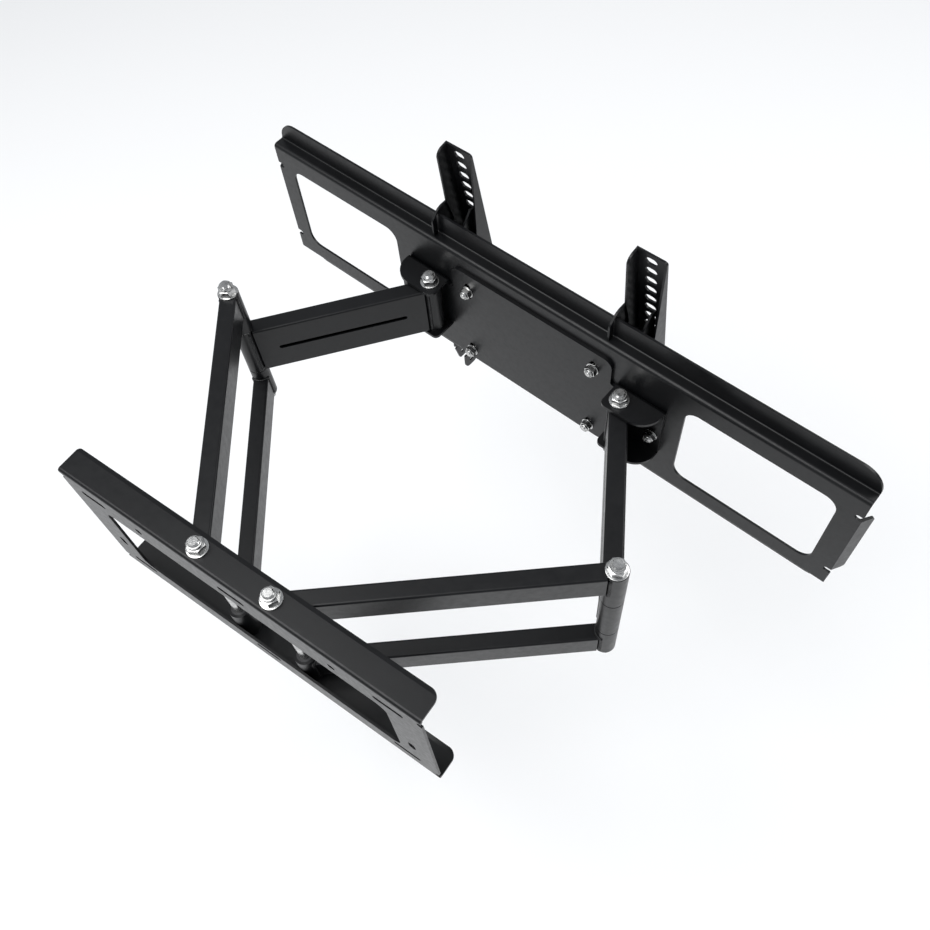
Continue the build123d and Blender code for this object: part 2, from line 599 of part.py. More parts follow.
def hook_bracket(hand, frame, rail_frame):
    """The bracket that hangs one rail on the TV plate, with its pivot bolt and lock bolt."""
    with BuildPart() as bracket:
        for outline, x in ((LEFT_CHEEK, HOOK_LEFT), (RIGHT_CHEEK, HOOK_RIGHT - HOOK_SHEET)):
            with BuildSketch(side(frame, x)):
                with BuildLine():
                    Polyline(*outline, close=True)
                make_face()
            extrude(amount=HOOK_SHEET)
        middle_x = (HOOK_LEFT + HOOK_RIGHT) / 2
        width = HOOK_RIGHT - HOOK_LEFT
        with BuildSketch(upright(frame, HOOK_WEB_Y + HOOK_SHEET)):
            with Locations((middle_x, 0)):
                Rectangle(width, 2 * FLANGE_TOP)
        extrude(amount=HOOK_SHEET)
        with BuildSketch(level(frame, FLANGE_TOP)):
            with Locations((middle_x, HOOK_WEB_Y + 9)):
                Rectangle(width, 18)
        extrude(amount=HOOK_SHEET)
        # cable pass in the web
        with BuildSketch(upright(frame, HOOK_WEB_Y + HOOK_SHEET)):
            with Locations((middle_x, 45), (middle_x, -45)):
                SlotOverall(50, 12, rotation=90)
        extrude(amount=HOOK_SHEET, mode=Mode.SUBTRACT)
        with BuildSketch(side(frame, HOOK_LEFT)):
            with Locations((LOCK_BOLT_Y, LOCK_BOLT_Z)):
                Circle(SMALL_BOLT_RADIUS + 0.2)
            with Locations(PADLOCK_HOLE, (54, -160)):
                Circle(3.2)
            with Locations((TILT_PIVOT_Y, 0)):
                Circle(PIVOT_BOLT_RADIUS + 0.2)
            # arc slot that the guide bolt runs in while the rail tilts
            for end_angle in range(-2, int(TILT_TRAVEL) + 3):
                angle = radians(90 + RAIL_TILT - end_angle)
                guide = (TILT_PIVOT_Y + TILT_GUIDE_RADIUS * cos(angle), TILT_GUIDE_RADIUS * sin(angle))
                with Locations(guide):
                    Circle(SMALL_BOLT_RADIUS + 0.4)
        extrude(amount=HOOK_RIGHT - HOOK_LEFT, mode=Mode.SUBTRACT)
        fillet(near(bracket, frame, 26, 120, 1) + near(bracket, frame, 37, 131, 1), 7)
        fillet(near(bracket, frame, 48, -172, 1) + near(bracket, frame, 60, -172, 1), 4)
        fillet(near(bracket, frame, 29, -153, 1) + near(bracket, frame, 52, -153, 1), 9)
        fillet(near(bracket, frame, 88, 12, 1) + near(bracket, frame, 88, -12, 1), 10)
    save(bracket, f"{hand}_hook_bracket")

    pivot = cross_bolt(frame, TILT_PIVOT_Y, 0)
    with BuildPart() as tilt_bolt:
        add(hex_bolt(pivot, HOOK_LEFT - M8[1], HOOK_RIGHT + 6, PIVOT_BOLT_RADIUS, M8[0], M8[1]))
    save(tilt_bolt, f"{hand}_tilt_bolt")

    with BuildPart() as tilt_nut:
        add(lock_nut(pivot, HOOK_RIGHT, PIVOT_BOLT_RADIUS, M8[0], 4, 1.5))
    save(tilt_nut, f"{hand}_tilt_nut")

    lock = cross_bolt(frame, LOCK_BOLT_Y, LOCK_BOLT_Z)
    with BuildPart() as lock_bolt:
        add(hex_bolt(lock, HOOK_LEFT - M6[1], HOOK_RIGHT + 9, SMALL_BOLT_RADIUS, M6[0], M6[1]))
    save(lock_bolt, f"{hand}_lock_bolt")

    with BuildPart() as lock_bolt_nut:
        add(lock_nut(lock, HOOK_RIGHT, SMALL_BOLT_RADIUS, M6[0], M6[2], M6[3]))
    save(lock_bolt_nut, f"{hand}_lock_nut")

    guide = cross_bolt(rail_frame, 0, TILT_GUIDE_RADIUS)
    with BuildPart() as guide_bolt:
        add(hex_bolt(guide, HOOK_LEFT - M6[1] - 0.1, -RAIL_WIDTH / 2 + RAIL_SHEET + 8, SMALL_BOLT_RADIUS,
                     M6[0], M6[1]))
    save(guide_bolt, f"{hand}_guide_bolt")

    with BuildPart() as guide_nut:
        add(lock_nut(guide, -RAIL_WIDTH / 2 + RAIL_SHEET, SMALL_BOLT_RADIUS, M6[0], M6[2], M6[3]))
    save(guide_nut, f"{hand}_guide_nut")


half_rail = RAIL_LENGTH / 2
# free edges of the rail's flanges as (y, z) points from the tilt pivot, television side last
DEEP_FLANGE = [
    (-1, half_rail), (-6, 140), (-2, 106), (-12, 40), (-12, -40), (-2, -106), (-6, -140), (-1, -half_rail),
    (RAIL_FACE, -half_rail), (RAIL_FACE, half_rail),
]
TAPERED_FLANGE = [
    (RAIL_FACE - RAIL_SHEET, half_rail - 8), (-13, 30), (-13, -30), (RAIL_FACE - RAIL_SHEET, 8 - half_rail),
    (RAIL_FACE, 8 - half_rail), (RAIL_FACE, half_rail - 8),
]


def rail(hand, frame):
    """One upright rail: a web with a column of slots, a deep flange and a tapered flange."""
    with BuildPart() as tv_rail:
        with BuildSketch(upright(frame, RAIL_FACE)):
            RectangleRounded(RAIL_WIDTH, RAIL_LENGTH, 4)
        extrude(amount=RAIL_SHEET)
        for outline, x in (
            (DEEP_FLANGE, -RAIL_WIDTH / 2),
            (TAPERED_FLANGE, RAIL_WIDTH / 2 - RAIL_SHEET),
        ):
            with BuildSketch(side(frame, x)):
                with BuildLine():
                    Polyline(*outline, close=True)
                make_face()
            extrude(amount=RAIL_SHEET)
        fillet(near(tv_rail, frame, -1, half_rail, 1) + near(tv_rail, frame, -1, -half_rail, 1), 10)
        with BuildSketch(upright(frame, RAIL_FACE)):
            for end in (-1, 1):
                rows = [end * (FIRST_RAIL_SLOT - RAIL_SLOT_PITCH * i) for i in range(RAIL_SLOTS_EACH_END)]
                with Locations([(0, z) for z in rows]):
                    SlotOverall(*RAIL_SLOT)
        extrude(amount=RAIL_SHEET, mode=Mode.SUBTRACT)
        with BuildSketch(side(frame, -RAIL_WIDTH / 2)):
            Circle(PIVOT_BOLT_RADIUS + RUNNING_GAP)
            with Locations((0, TILT_GUIDE_RADIUS)):
                Circle(SMALL_BOLT_RADIUS)
        extrude(amount=RAIL_SHEET, mode=Mode.SUBTRACT)
    save(tv_rail, f"{hand}_rail")


for hand, centre in RAIL_CENTRES.items():
    bracket_frame = turned(HEAD, centre, 0)
    lean = radians(RAIL_TILT)
    rail_frame = Plane(
        origin=bracket_frame.from_local_coords(Vector(0, TILT_PIVOT_Y, 0)),
        x_dir=HEAD.x_dir,
        z_dir=HEAD.z_dir * cos(lean) - HEAD.y_dir * sin(lean),
    )
    hook_bracket(hand, bracket_frame, rail_frame)
    rail(hand, rail_frame)
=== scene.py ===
"""Looks of a full motion TV wall mount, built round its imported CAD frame.

The CAD pieces keep their shapes and get powder coat, acetal and zinc finishes. The fasteners
and weld seams are shaped here as numpy surfaces, in the places that the CAD nodes give.
All lengths are metres and every piece sits at the origin with its place in its mesh.
"""
import json
import logging
import math
from dataclasses import dataclass, field
from enum import Enum
from typing import Iterable, Sequence

import bmesh
import bpy
import numpy as np
from mathutils import Matrix, Vector

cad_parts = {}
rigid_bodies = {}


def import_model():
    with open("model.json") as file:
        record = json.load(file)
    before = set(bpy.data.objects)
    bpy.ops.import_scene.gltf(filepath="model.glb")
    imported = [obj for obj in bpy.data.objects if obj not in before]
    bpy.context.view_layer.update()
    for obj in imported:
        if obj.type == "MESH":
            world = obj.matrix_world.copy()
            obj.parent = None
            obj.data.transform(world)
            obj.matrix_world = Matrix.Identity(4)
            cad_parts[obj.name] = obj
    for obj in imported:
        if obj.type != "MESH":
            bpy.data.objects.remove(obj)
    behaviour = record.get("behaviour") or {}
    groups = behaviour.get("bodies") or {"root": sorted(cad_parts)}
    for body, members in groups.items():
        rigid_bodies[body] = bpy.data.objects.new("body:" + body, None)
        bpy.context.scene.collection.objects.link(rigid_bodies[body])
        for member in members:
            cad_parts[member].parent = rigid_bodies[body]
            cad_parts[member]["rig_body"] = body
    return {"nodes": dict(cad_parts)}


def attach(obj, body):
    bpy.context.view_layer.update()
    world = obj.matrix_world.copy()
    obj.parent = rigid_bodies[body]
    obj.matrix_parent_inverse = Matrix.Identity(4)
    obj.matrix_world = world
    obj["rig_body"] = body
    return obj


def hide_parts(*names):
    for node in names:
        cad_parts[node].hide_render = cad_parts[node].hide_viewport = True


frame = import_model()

log = logging.getLogger("tv_mount")
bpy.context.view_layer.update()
TURN = 2.0 * math.pi
Colour = tuple[float, float, float]
UP = np.array([0.0, 0.0, 1.0])

MERGE_DISTANCE = 2e-6                   # points closer than this are one
SHARP_ANGLE = math.radians(32.0)        # edges sharper than this shade as edges
CHAMFER_SLOPE = math.tan(math.radians(30.0))
CHAMFER_START = 0.955                   # share of half the flats where the chamfer cone begins
THREAD_DEPTH = 0.61                     # share of the pitch
ROWS_PER_TURN = 8                       # of a thread's surface grid
OVERLAP = 0.0002                        # how far one surface reaches into the next
NEXT_SPIN = 0.6                         # radians between one fastener's flats and the next's
MIDDLE_OF_NOISE = (0.3, 0.7)            # the values that cloudy noise mostly takes


class Finish(Enum):
    """The finishes that the mount's pieces come in, named as the record's slots."""

    BLACK_STEEL = "black_steel"
    ZINC = "zinc"
    BUSH = "bush"


# ------------------------------------------------------------------ finishes
@dataclass(frozen=True)
class NodeBench:
    """A material's node tree with short ways to add and join nodes."""

    material: bpy.types.Material

    def add(self, kind: str, **values: object) -> bpy.types.Node:
        """Add a node.

        Args:
            kind: Blender's node type name.
            values: properties of the node, or its input sockets by name.

        Returns:
            The new node.
        """
        node = self.material.node_tree.nodes.new(kind)
        for name, value in values.items():
            if hasattr(node, name):
                setattr(node, name, value)
            else:
                node.inputs[name.replace("_", " ")].default_value = value
        return node

    def join(self, out: bpy.types.NodeSocket, into: bpy.types.NodeSocket) -> None:
        """Link an output socket to an input socket."""
        self.material.node_tree.links.new(out, into)

    def spread(self, source: bpy.types.NodeSocket, low: float, high: float,
               to_low: float, to_high: float) -> bpy.types.NodeSocket:
        """Map a varying value from one range to another, held at the ends.

        Args:
            source: the value that varies over the surface.
            low, high: the range read.
            to_low, to_high: the range given.

        Returns:
            The mapped value's socket.
        """
        ends = {"From Min": low, "From Max": high, "To Min": to_low, "To Max": to_high}
        node = self.add("ShaderNodeMapRange", **ends)
        self.join(source, node.inputs["Value"])
        return node.outputs["Result"]


@dataclass(frozen=True)
class Coating:
    """A material under way: its bench, its shader and the object's own coordinates."""

    bench: NodeBench
    shader: bpy.types.Node
    place: bpy.types.NodeSocket

    @staticmethod
    def fresh(name: str) -> "Coating":
        """Start an empty node material.

        Args:
            name: the material's name.

        Returns:
            The coating, its Principled shader joined to the material's surface.
        """
        material = bpy.data.materials.new(name)
        material.use_nodes = True
        material.node_tree.nodes.clear()
        bench = NodeBench(material)
        output = bench.add("ShaderNodeOutputMaterial")
        shader = bench.add("ShaderNodeBsdfPrincipled")
        bench.join(shader.outputs["BSDF"], output.inputs["Surface"])
        place = bench.add("ShaderNodeTexCoord")
        return Coating(bench, shader, place.outputs["Object"])

    def noise(self, scale: float, detail: float, roughness: float = 0.5) -> bpy.types.NodeSocket:
        """Cloudy noise over the piece.

        Args:
            scale: clouds per metre.
            detail: how many finer layers it has.
            roughness: how strong the finer layers are.

        Returns:
            The noise's value, from 0 to 1.
        """
        node = self.bench.add("ShaderNodeTexNoise", Scale=scale, Detail=detail, Roughness=roughness)
        self.bench.join(self.place, node.inputs["Vector"])
        return node.outputs["Fac"]

    def tint(self, source: bpy.types.NodeSocket, tones: Sequence[Colour],
             ends: tuple[float, float]) -> None:
        """Colour the surface between two tones.

        Args:
            source: the value that varies over the surface.
            tones: the first and the last tone.
            ends: the values where each tone is reached.
        """
        node = self.bench.add("ShaderNodeValToRGB")
        for stop, tone, end in zip(node.color_ramp.elements, tones, ends):
            stop.position = end
            stop.color = (*tone, 1.0)
        self.bench.join(source, node.inputs["Fac"])
        self.bench.join(node.outputs["Color"], self.shader.inputs["Base Color"])

    def gloss(self, source: bpy.types.NodeSocket, ends: tuple[float, float],
              roughness: tuple[float, float]) -> None:
        """Let the roughness run between two values while the source goes between its ends."""
        varied = self.bench.spread(source, *ends, *roughness)
        self.bench.join(varied, self.shader.inputs["Roughness"])

    def grain(self, source: bpy.types.NodeSocket, strength: float, depth: float) -> None:
        """Raise fine bumps.

        Args:
            source: the value that gives their height.
            strength: how much of them shows, from 0 to 1.
            depth: their depth in metres.
        """
        node = self.bench.add("ShaderNodeBump", Strength=strength, Distance=depth)
        self.bench.join(source, node.inputs["Height"])
        self.bench.join(node.outputs["Normal"], self.shader.inputs["Normal"])

    def settle(self, **levels: float) -> bpy.types.Material:
        """Set the values that are even all over the surface.

        Args:
            levels: the shader's sockets by name, with low lines for spaces.

        Returns:
            The finished material.
        """
        for name, level in levels.items():
            self.shader.inputs[name.replace("_", " ")].default_value = level
        return self.bench.material


@dataclass(frozen=True)
class PowderCoat:
    """Satin black powder coat: fine orange peel, faint blue cast and a dusting of rubbed spots."""

    name: str = "satin_black_powder_coat"
    dark: Colour = (0.0022, 0.0024, 0.0030)
    light: Colour = (0.0045, 0.0048, 0.0056)
    roughness: tuple[float, float] = (0.30, 0.40)
    specular: float = 0.30
    ior: float = 1.5
    contrast: tuple[float, float] = (0.35, 0.68)
    cloud_size: float = 9.0
    rub_size: float = 140.0
    peel_size: float = 900.0
    peel_strength: float = 0.35
    peel_depth: float = 0.00006

    def make(self) -> bpy.types.Material:
        """Build the node material.

        Returns:
            The finished material.
        """
        coating = Coating.fresh(self.name)
        cloud = coating.noise(self.cloud_size, 4.0, 0.6)
        coating.tint(cloud, (self.dark, self.light), self.contrast)
        coating.gloss(coating.noise(self.rub_size, 6.0, 0.65), self.contrast, self.roughness)
        coating.grain(coating.noise(self.peel_size, 2.0), self.peel_strength, self.peel_depth)
        return coating.settle(Specular_IOR_Level=self.specular, IOR=self.ior)


@dataclass(frozen=True)
class ZincPlate:
    """Bright zinc plate: pale metal with soft clouding and dulled patches."""

    name: str = "bright_zinc_plate"
    dark: Colour = (0.30, 0.30, 0.30)
    light: Colour = (0.62, 0.62, 0.61)
    roughness: tuple[float, float] = (0.14, 0.30)
    contrast: tuple[float, float] = (0.30, 0.62)
    cloud_size: float = 120.0
    dull_size: float = 600.0
    dull_strength: float = 0.25
    dull_depth: float = 0.00004

    def make(self) -> bpy.types.Material:
        """Build the node material.

        Returns:
            The finished material.
        """
        coating = Coating.fresh(self.name)
        cloud = coating.noise(self.cloud_size, 5.0, 0.6)
        coating.tint(cloud, (self.dark, self.light), self.contrast)
        dull = coating.noise(self.dull_size, 3.0)
        coating.gloss(dull, MIDDLE_OF_NOISE, self.roughness)
        coating.grain(dull, self.dull_strength, self.dull_depth)
        return coating.settle(Metallic=1.0)


@dataclass(frozen=True)
class Acetal:
    """Moulded plastic, for the bushes and the nylon rings in the lock nuts."""

    name: str
    low: Colour
    high: Colour
    roughness: tuple[float, float] = (0.38, 0.55)
    cloud_size: float = 220.0
    grain_strength: float = 0.2
    grain_depth: float = 0.00005

    def make(self) -> bpy.types.Material:
        """Build the node material.

        Returns:
            The finished material.
        """
        coating = Coating.fresh(self.name)
        cloud = coating.noise(self.cloud_size, 4.0)
        coating.tint(cloud, (self.low, self.high), (0.0, 1.0))
        coating.gloss(cloud, MIDDLE_OF_NOISE, self.roughness)
        coating.grain(cloud, self.grain_strength, self.grain_depth)
        return coating.settle()


BLACK_ACETAL = Acetal("black_acetal", (0.012, 0.012, 0.013), (0.03, 0.03, 0.032))
WHITE_NYLON = Acetal("white_nylon", (0.60, 0.60, 0.57), (0.78, 0.78, 0.75))


@dataclass(frozen=True)
class Paper:
    """The pale matt floor."""

    name: str = "pale_floor"
    tone: Colour = (0.93, 0.93, 0.93)
    roughness: tuple[float, float] = (0.86, 0.94)
    specular: float = 0.1
    fleck_size: float = 3.0

    def make(self) -> bpy.types.Material:
        """Build the node material.

        Returns:
            The finished material.
        """
        coating = Coating.fresh(self.name)
        coating.gloss(coating.noise(self.fleck_size, 2.0), (0.0, 1.0), self.roughness)
        coating.shader.inputs["Base Color"].default_value = (*self.tone, 1.0)
        return coating.settle(Specular_IOR_Level=self.specular)


@dataclass
class Finishes:
    """Every finish of the mount, made once."""

    coat: bpy.types.Material = field(default_factory=lambda: PowderCoat().make())
    zinc: bpy.types.Material = field(default_factory=lambda: ZincPlate().make())
    bush: bpy.types.Material = field(default_factory=lambda: BLACK_ACETAL.make())
    nylon: bpy.types.Material = field(default_factory=lambda: WHITE_NYLON.make())

    def dress(self, nodes: Iterable[str], finish: Finish) -> None:
        """Give CAD nodes their finish.

        Args:
            nodes: names of the CAD nodes.
            finish: the finish that they get.
        """
        material = {
            Finish.BLACK_STEEL: self.coat, Finish.ZINC: self.zinc, Finish.BUSH: self.bush,
        }[finish]
        for name in nodes:
            for slot in frame["nodes"][name].material_slots:
                slot.material = material
            log.info("%s dressed in %s", name, finish.value)


# ------------------------------------------------------------------ surfaces
@dataclass
class Patches:
    """A mesh gathered from surface patches, each a grid of points with one finish."""

    points: list[np.ndarray] = field(default_factory=list)
    faces: list[np.ndarray] = field(default_factory=list)
    finish: list[np.ndarray] = field(default_factory=list)
    count: int = 0

    def grid(self, surface: np.ndarray, finish: int = 0) -> None:
        """Add a surface that closes on itself round its second direction.

        Neighbouring points (i, j), (i+1, j), (i+1, j+1), (i, j+1) make one four-sided face,
        and the last column joins the first.

        Args:
            surface: points, shape (rows, columns, 3), columns running round the piece.
            finish: number of the material slot.
        """
        rows, columns = surface.shape[:2]
        i, j = np.meshgrid(np.arange(rows - 1), np.arange(columns), indexing="ij")
        k = (j + 1) % columns
        here, above = i * columns, (i + 1) * columns
        quads = np.stack([here + j, here + k, above + k, above + j], -1)
        self.points.append(surface.reshape(-1, 3))
        self.faces.append(quads.reshape(-1, 4) + self.count)
        self.finish.append(np.full(quads[..., 0].size, finish))
        self.count += rows * columns

    def mesh(self, name: str, materials: Sequence[bpy.types.Material]) -> bpy.types.Object:
        """Turn the patches into one object that shades smoothly away from its sharp edges.

        Args:
            name: the object's name.
            materials: one per material slot.

        Returns:
            The object, linked to the scene.
        """
        points = np.concatenate(self.points)
        faces = np.concatenate(self.faces)
        data = bpy.data.meshes.new(name)
        data.vertices.add(len(points))
        data.vertices.foreach_set("co", points.astype(np.float32).ravel())
        data.loops.add(faces.size)
        data.loops.foreach_set("vertex_index", faces.astype(np.int32).ravel())
        data.polygons.add(len(faces))
        data.polygons.foreach_set("loop_start", np.arange(0, faces.size, 4, dtype=np.int32))
        data.polygons.foreach_set("material_index", np.concatenate(self.finish).astype(np.int32))
        data.update(calc_edges=True)
        shell = bmesh.new()
        shell.from_mesh(data)
        bmesh.ops.remove_doubles(shell, verts=shell.verts, dist=MERGE_DISTANCE)
        bmesh.ops.recalc_face_normals(shell, faces=shell.faces)
        shell.to_mesh(data)
        shell.free()
        for material in materials:
            data.materials.append(material)
        piece = bpy.data.objects.new(name, data)
        bpy.context.scene.collection.objects.link(piece)
        data.polygons.foreach_set("use_smooth", np.ones(len(data.polygons), bool))
        data.set_sharp_from_angle(angle=SHARP_ANGLE)
        return piece


@dataclass(frozen=True)
class Post:
    """A straight axis in space that turned and hexagonal shapes stand on."""

    origin: np.ndarray
    along: np.ndarray
    across: np.ndarray

    def place(self, radius: np.ndarray, height: np.ndarray, angle: np.ndarray) -> np.ndarray:
        """Points at a radius, height and angle about the axis.

        point = origin + height * along + radius * (cos(angle) * across + sin(angle) * third),
        where third stands square to both.
        """
        third = np.cross(self.along, self.across)
        radius, height, angle = np.broadcast_arrays(radius, height, angle)
        flat = np.cos(angle)[..., None] * self.across + np.sin(angle)[..., None] * third
        return self.origin + height[..., None] * self.along + radius[..., None] * flat


def round_angles(count: int) -> np.ndarray:
    """Evenly spaced angles that go once round, the first not repeated."""
    return np.arange(count) / count * TURN


def turned(post: Post, profile: Sequence[tuple[float, float]], around: int = 48) -> np.ndarray:
    """A profile of (radius, height) points swept once round the axis.

    Args:
        post: the axis.
        profile: corner points, bottom to top on the outside.
        around: points round the circle.

    Returns:
        Surface grid, shape (profile points, around, 3).
    """
    radius, height = np.array(profile, float).T
    return post.place(radius[:, None], height[:, None], round_angles(around)[None, :])


def hexagon_radius(angle: np.ndarray, across_flats: float) -> np.ndarray:
    """Hexagon radius: half the flats over the cosine of the angle from a flat's middle."""
    from_flat = (angle + TURN / 12) % (TURN / 6) - TURN / 12
    return across_flats / 2 / np.cos(from_flat)


def hexagon_prism(post: Post, across_flats: float, bottom: float, top: float, hole: float,
                  chamfer_top: bool = True) -> np.ndarray:
    """A hexagonal prism whose corners are turned off by a 30 degree cone at its ends.

    At radius r the end face drops by (r - rc) * tan 30, where rc is just under half the flats,
    so the corners dip and the flats show the usual curved chamfer line.

    Args:
        post: the axis.
        across_flats: width across the flats.
        bottom, top: heights of the ends.
        hole: radius of the hole through it.
        chamfer_top: whether the top has the cone as well as the bottom.

    Returns:
        Surface grid, closed through the hole.
    """
    angle = round_angles(72)
    outer = hexagon_radius(angle, across_flats)
    cone = across_flats / 2 * CHAMFER_START
    dip = (outer - cone) * CHAMFER_SLOPE
    flat = np.zeros_like(angle)
    low = bottom + dip
    high = top - (dip if chamfer_top else flat)
    rows = [
        (hole + flat, bottom + flat), (cone + flat, bottom + flat), (outer, low), (outer, high),
        (cone + flat, top + flat), (hole + flat, top + flat), (hole + flat, bottom + flat),
    ]
    return np.stack([post.place(r, h, angle) for r, h in rows])


def thread(post: Post, bottom: float, top: float, size: "ThreadSize") -> np.ndarray:
    """A threaded shank: radius falls and rises once per pitch along a helix.

    r = radius - depth * w(h / pitch - angle / turn), with w a triangle wave, and the wave fades out
    over half a pitch at both ends. The end at the top closes in a chamfer to the middle.

    Args:
        post: the axis.
        bottom, top: heights of the ends.
        size: its outside radius and its pitch, of which the depth is a fixed share.

    Returns:
        Surface grid with its pole at the top.
    """
    radius, pitch = size.radius, size.pitch
    depth = THREAD_DEPTH * pitch
    steps = int((top - bottom) / pitch * ROWS_PER_TURN) + 2
    height = np.linspace(bottom, top, steps)[:, None]
    angle = round_angles(36)[None, :]
    phase = (height / pitch - angle / TURN) % 1.0
    wave = np.abs(2 * phase - 1)
    fade = np.clip((height - bottom) / (0.5 * pitch), 0, 1)
    chamfer = np.clip((height - (top - depth * 1.2)) / (depth * 1.2), 0, 1)
    shape = radius - depth * wave * fade
    shape = np.minimum(shape, radius - depth * chamfer)
    body = post.place(shape, height, angle)
    tip = post.place(np.array([[radius * 0.35], [0.0]]), np.array([[top], [top]]), angle)
    foot = post.place(np.array([[0.0]]), np.array([[bottom]]), angle)
    return np.concatenate([foot, body, tip])


# ------------------------------------------------------------------ fasteners
@dataclass(frozen=True)
class ThreadSize:
    """A metric fastener size."""

    radius: float
    pitch: float
    across_flats: float
    head_height: float
    nut_height: float
    crown_height: float


M12 = ThreadSize(0.006, 0.00175, 0.018, 0.0075, 0.008, 0.0035)
M8 = ThreadSize(0.004, 0.00125, 0.013, 0.0053, 0.006, 0.0025)
M8_THIN = ThreadSize(0.004, 0.00125, 0.013, 0.0053, 0.004, 0.0015)
M6 = ThreadSize(0.003, 0.001, 0.010, 0.004, 0.0046, 0.0018)


@dataclass(frozen=True)
class Stance:
    """Where a turned solid stands: its axis starts at its wide end and points to its narrow end."""

    post: Post
    length: float

    @staticmethod
    def of(points: np.ndarray, along: np.ndarray, spin: float) -> "Stance":
        """Read a solid's stance from its points.

        Args:
            points: the solid's points, shape (points, 3).
            along: direction of its axis, either way.
            spin: angle that its flats are turned by, in radians.

        Returns:
            The stance, with the origin in the middle of the wide end.
        """
        side = np.cross(along, [0.0, 0.0, 1.0] if abs(along[2]) < 0.5 else [1.0, 0.0, 0.0])
        side /= np.linalg.norm(side)
        third = np.cross(along, side)
        flat = points @ np.stack([side, third], 1)
        height = points @ along
        centre = (flat.min(0) + flat.max(0)) / 2
        reach = np.linalg.norm(flat - centre, axis=1)
        low, high = height.min(), height.max()
        band = 0.04 * (high - low)
        upside_down = reach[height > high - band].max() > reach[height < low + band].max() + 1e-5
        way, start = (-along, high) if upside_down else (along, low)
        origin = centre[0] * side + centre[1] * third + start * along
        across = math.cos(spin) * side + math.sin(spin) * third
        return Stance(Post(origin, way, across), high - low)


@dataclass
class Fasteners:
    """Shapes bolts, nuts and washers on a stance, heights counted from the stance's wide end."""

    patches: Patches = field(default_factory=Patches)

    def lock_nut(self, stance: Stance, size: ThreadSize) -> None:
        """Add a nylon insert nut: chamfered hexagon, rolled crown and a pale ring inside it."""
        post, top = stance.post, size.nut_height
        crown = size.across_flats * 0.45
        rim = top + size.crown_height
        roll = size.crown_height * 0.45
        lip = size.radius * 1.26
        self.patches.grid(hexagon_prism(post, size.across_flats, 0.0, top, size.radius))
        self.patches.grid(turned(post, [
            (crown * 0.9, top - OVERLAP), (crown, top - 0.0001), (crown, rim - roll),
            (crown - 0.1 * roll, rim - 0.6 * roll), (crown - 0.3 * roll, rim - 0.3 * roll),
            (crown - 0.6 * roll, rim - 0.08 * roll), (crown - roll, rim), (lip, rim - 0.0001),
            (lip - 0.0002, rim - 0.0005), (lip - 0.0002, top - OVERLAP),
            (crown * 0.9, top - OVERLAP),
        ]))
        self.patches.grid(turned(post, [
            (lip - 0.0001, top), (lip - 0.0001, rim - 0.0007), (size.radius, rim - 0.0005),
            (size.radius, top), (lip - 0.0001, top),
        ]), finish=1)

    def hex_bolt(self, stance: Stance, size: ThreadSize) -> None:
        """Add a hexagon bolt: chamfered head, washer face, plain shank and a threaded end."""
        post, neck = stance.post, size.head_height
        threaded = min(5.0 * size.radius, stance.length - neck - size.radius)
        shoulder = stance.length - threaded
        head = hexagon_prism(post, size.across_flats, 0.0, neck, 0.0, chamfer_top=False)
        self.patches.grid(head)
        self.patches.grid(turned(post, [
            (0.0, neck - OVERLAP), (size.radius, neck - OVERLAP),
            (size.radius, shoulder), (0.0, shoulder),
        ]))
        self.patches.grid(thread(post, shoulder - OVERLAP, stance.length, size))

    def washer(self, stance: Stance, outer: float, hole: float) -> None:
        """Add a flat washer with softened rims."""
        soft, top = stance.length * 0.22, stance.length
        self.patches.grid(turned(stance.post, [
            (hole, 0.0), (outer - soft, 0.0), (outer - 0.3 * soft, 0.3 * soft), (outer, soft),
            (outer, top - soft), (outer - 0.3 * soft, top - 0.3 * soft), (outer - soft, top),
            (hole + soft, top), (hole, top - soft), (hole, 0.0),
        ], around=64))

    def carriage_bolt(self, stance: Stance, size: ThreadSize, dome_radius: float,
                      dome_depth: float) -> None:
        """Add a domed bolt.

        At radius r the dome's skin lies at rise * (r / dome radius) squared.

        Args:
            stance: where it stands, from its dome's crown.
            size: its thread.
            dome_radius, dome_depth: size of its head.
        """
        rim, neck = 0.0007, dome_depth + 0.004
        rise = dome_depth - rim
        step = np.linspace(0.0, 1.0, 14)
        dome = [(dome_radius * r, rise * r * r) for r in step]
        post = stance.post
        self.patches.grid(turned(post, [*dome, (dome_radius, dome_depth), (0.0, dome_depth)]))
        self.patches.grid(turned(post, [
            (0.0, dome_depth - OVERLAP), (size.radius, dome_depth - OVERLAP),
            (size.radius, neck), (0.0, neck),
        ]))
        self.patches.grid(thread(post, neck - OVERLAP, stance.length, size))

    def place(self, node: str, finishes: Finishes) -> bpy.types.Object:
        """Put the gathered shapes in place of their CAD node.

        Args:
            node: the CAD node that they stand for.
            finishes: the mount's finishes.

        Returns:
            The new piece.
        """
        piece = self.patches.mesh(f"{node}_turned", [finishes.zinc, finishes.nylon])
        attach(piece, frame["nodes"][node]["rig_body"])
        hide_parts(node)
        log.info("%s: %d faces", piece.name, len(piece.data.polygons))
        return piece


